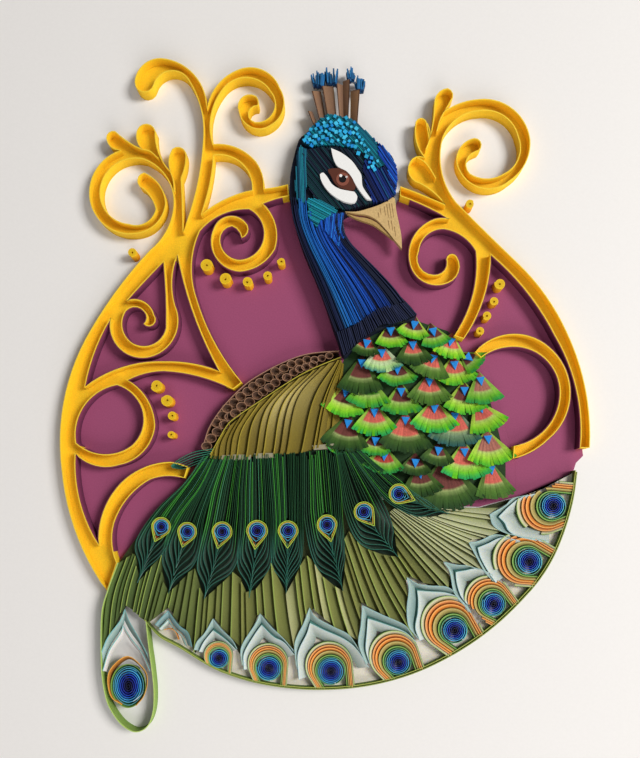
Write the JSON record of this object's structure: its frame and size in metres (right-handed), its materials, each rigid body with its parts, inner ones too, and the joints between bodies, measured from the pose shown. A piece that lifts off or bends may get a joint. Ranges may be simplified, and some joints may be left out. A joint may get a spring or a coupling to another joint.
{
  "type": "quilled paper picture",
  "caption": "Peacock in a scroll frame, made of paper strips on edge, rolled coils and fringed fans on a flat white mount board.",
  "frame": {"origin": "middle of the mount board's back face", "axes": "+Z out of the picture towards the viewer, +Y up the picture, +X to the viewer's right"},
  "size_m": [0.297, 0.42, 0.01],
  "materials": {
    "white_board": "smooth white board",
    "plum_card": "matte coloured card",
    "yellow_paper": "matte quilling paper",
    "yellow_rolls": "rolled quilling paper",
    "pale_olive_paper": "matte quilling paper",
    "olive_paper": "matte quilling paper",
    "grey_teal_paper": "matte quilling paper",
    "royal_blue_coils": "rolled quilling paper",
    "orange_paper": "matte quilling paper",
    "dark_green_paper": "matte quilling paper",
    "green_paper": "matte quilling paper",
    "brown_coils": "rolled quilling paper",
    "wing_olive_paper": "matte quilling paper",
    "brown_paper": "matte quilling paper",
    "breast_green_card": "matte coloured card",
    "lime_fans": "painted paper, fringed",
    "blue_paper": "matte quilling paper",
    "navy_paper": "matte quilling paper",
    "teal_paper": "matte quilling paper",
    "white_paper": "matte quilling paper",
    "eye_brown_paper": "rolled quilling paper",
    "tan_paper": "matte quilling paper",
    "crest_brown_paper": "matte quilling paper",
    "turquoise_paper": "fringed quilling paper"
  },
  "bodies": {
    "root": {"mount_board": "white_board", "ground_card_left": "plum_card", "ground_card_right": "plum_card", "scroll_frame": "yellow_paper", "rolled_dots": "yellow_rolls", "tail_edge_strips": "pale_olive_paper", "tail_strips": "olive_paper", "tail_chevrons": "grey_teal_paper", "eye_coils": "royal_blue_coils", "eye_arcs": "orange_paper", "covert_edges": "dark_green_paper", "covert_strips": "green_paper", "wing_coils": "brown_coils", "wing_strips": "wing_olive_paper", "wing_edge_strip": "brown_paper", "breast_card": "breast_green_card", "breast_fans": "lime_fans", "neck_strips": "blue_paper", "neck_hem": "navy_paper", "head_strips": "teal_paper", "eye_patches": "white_paper", "eye": "eye_brown_paper", "beak": "tan_paper", "crest_stems": "crest_brown_paper", "crest_tufts": "turquoise_paper"}
  },
  "joints": []
}
